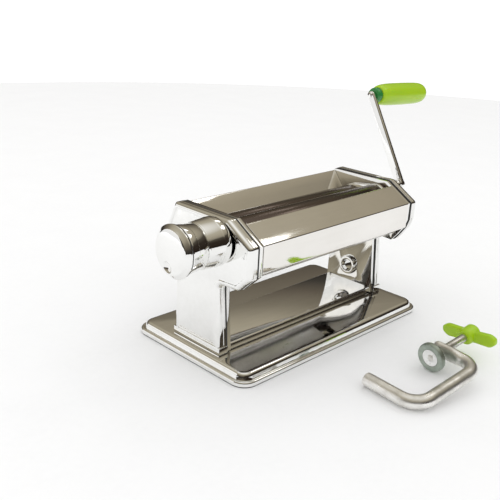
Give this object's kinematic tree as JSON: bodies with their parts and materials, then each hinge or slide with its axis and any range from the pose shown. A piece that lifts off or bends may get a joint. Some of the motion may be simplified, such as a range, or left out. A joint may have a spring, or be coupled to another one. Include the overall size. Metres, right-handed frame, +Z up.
{
  "type": "pasta roller machine",
  "caption": "Hand-cranked roller machine for rolling dough or clay into sheets, with a thickness knob, a removable crank and a loose table clamp.",
  "frame": {"origin": "on the floor, under the middle of the bounding box of the machine, crank and loose clamp", "axes": "+X from the thickness knob towards the crank, +Y from the user towards the rear, +Z up"},
  "size_m": [0.422, 0.2496, 0.1966],
  "materials": {
    "bright_chrome": "mirror chrome on pressed sheet, fine wiping marks",
    "cover_chrome": "mirror chrome over the rollers",
    "roller_chrome": "ground and plated rollers",
    "plain_steel": "turned steel, dull",
    "bearing_bronze": "oiled sintered bronze",
    "clamp_zinc": "bright zinc plate, slightly stained",
    "pad_grey": "grey-green stamped pad",
    "lime_plastic": "smooth moulded plastic, soft gloss",
    "green_plastic": "moulded plastic collar",
    "sleeve_nylon": "natural nylon",
    "foot_rubber": "matt black rubber"
  },
  "bodies": {
    "frame": {"base_plate": "bright_chrome", "foot_front_left": "foot_rubber", "foot_front_right": "foot_rubber", "foot_rear_left": "foot_rubber", "foot_rear_right": "foot_rubber", "chassis_floor": "bright_chrome", "base_screw_1": "plain_steel", "base_screw_2": "plain_steel", "base_screw_3": "plain_steel", "base_screw_4": "plain_steel", "base_nut_1": "plain_steel", "base_nut_2": "plain_steel", "base_nut_3": "plain_steel", "base_nut_4": "plain_steel", "side_plate_left": "bright_chrome", "side_plate_right": "bright_chrome", "end_cover_left": "bright_chrome", "end_cover_right": "bright_chrome", "tie_rod_front_lower": "plain_steel", "tie_rod_rear_lower": "plain_steel", "tie_rod_front_upper": "plain_steel", "tie_screw_front_lower_left": "plain_steel", "tie_screw_front_lower_right": "plain_steel", "tie_screw_rear_lower_left": "plain_steel", "tie_screw_rear_lower_right": "plain_steel", "tie_screw_front_upper_left": "plain_steel", "tie_screw_front_upper_right": "plain_steel", "clamp_socket": "bright_chrome", "front_cover": "cover_chrome", "rear_cover": "cover_chrome", "end_guide_left": "bright_chrome", "end_guide_right": "bright_chrome", "scraper_front": "plain_steel", "scraper_rear": "plain_steel", "rear_bush_left": "bearing_bronze", "rear_bush_right": "bearing_bronze"},
    "drive_roller": {"rear_roller": "roller_chrome", "drive_gear": "plain_steel"},
    "crank": {"crank_shaft": "bright_chrome", "crank_arm": "bright_chrome", "grip_pin": "plain_steel"},
    "crank_grip": {"grip": "lime_plastic", "grip_ferrule": "green_plastic"},
    "adjuster": {"eccentric_bush_left": "bearing_bronze", "eccentric_bush_right": "bearing_bronze", "knob_spindle": "plain_steel", "adjuster_shaft": "plain_steel", "adjuster_link": "plain_steel", "spindle_nut": "plain_steel", "knob_spring": "plain_steel"},
    "knob": {"knob": "bright_chrome", "knob_cap": "bright_chrome"},
    "roller_bearings": {"bearing_sleeve_left": "sleeve_nylon", "bearing_sleeve_right": "sleeve_nylon"},
    "front_roller": {"front_roller": "roller_chrome", "front_gear": "plain_steel"},
    "clamp": {"clamp_rod": "clamp_zinc"},
    "clamp_pad": {"clamp_pad": "pad_grey"},
    "clamp_screw": {"clamp_screw": "clamp_zinc", "wing_handle": "lime_plastic"}
  },
  "joints": [
    {"name": "drive_turn", "type": "hinge", "parent": "frame", "child": "drive_roller", "pos_m": [0, 0.06027, 0.102], "axis": [1, 0, 0], "continuous": true},
    {"name": "crank_pull", "type": "slide", "parent": "drive_roller", "child": "crank", "axis": [1, 0, 0], "range_m": [0, 0.03]},
    {"name": "grip_turn", "type": "hinge", "parent": "crank", "child": "crank_grip", "pos_m": [0.11921, 0.10977, 0.18603], "axis": [0.9993, -0.0195, -0.0331], "continuous": true},
    {"name": "thickness_turn", "type": "hinge", "parent": "frame", "child": "adjuster", "pos_m": [0, 0.03536, 0.1063], "axis": [1, 0, 0], "range_deg": [-70, 70]},
    {"name": "knob_pull", "type": "slide", "parent": "adjuster", "child": "knob", "axis": [-1, 0, 0], "range_m": [-0.001, 0.003]},
    {"name": "bearing_turn", "type": "hinge", "parent": "adjuster", "child": "roller_bearings", "pos_m": [0, 0.03536, 0.10747], "axis": [1, 0, 0], "range_deg": [-75, 75]},
    {"name": "front_roller_turn", "type": "hinge", "parent": "roller_bearings", "child": "front_roller", "pos_m": [0, 0.03536, 0.10747], "axis": [1, 0, 0], "continuous": true},
    {"name": "clamp_lift", "type": "slide", "parent": "frame", "child": "clamp", "axis": [0, 0, 1], "range_m": [0, 0.08]},
    {"name": "pad_travel", "type": "slide", "parent": "clamp", "child": "clamp_pad", "axis": [0.9902, -0.0798, 0.1149], "range_m": [-0.0195, 0.0022]},
    {"name": "screw_turn", "type": "hinge", "parent": "clamp_pad", "child": "clamp_screw", "pos_m": [-0.02148, -0.08654, 0.01468], "axis": [0.9902, -0.0798, 0.1149], "range_deg": [-5400, 540]}
  ],
  "couplings": [
    {"joint": "front_roller_turn", "follows": "drive_turn", "ratio": -1},
    {"joint": "bearing_turn", "follows": "thickness_turn", "ratio": -1},
    {"joint": "pad_travel", "follows": "screw_turn", "m_per_rad": 0.00019894}
  ]
}
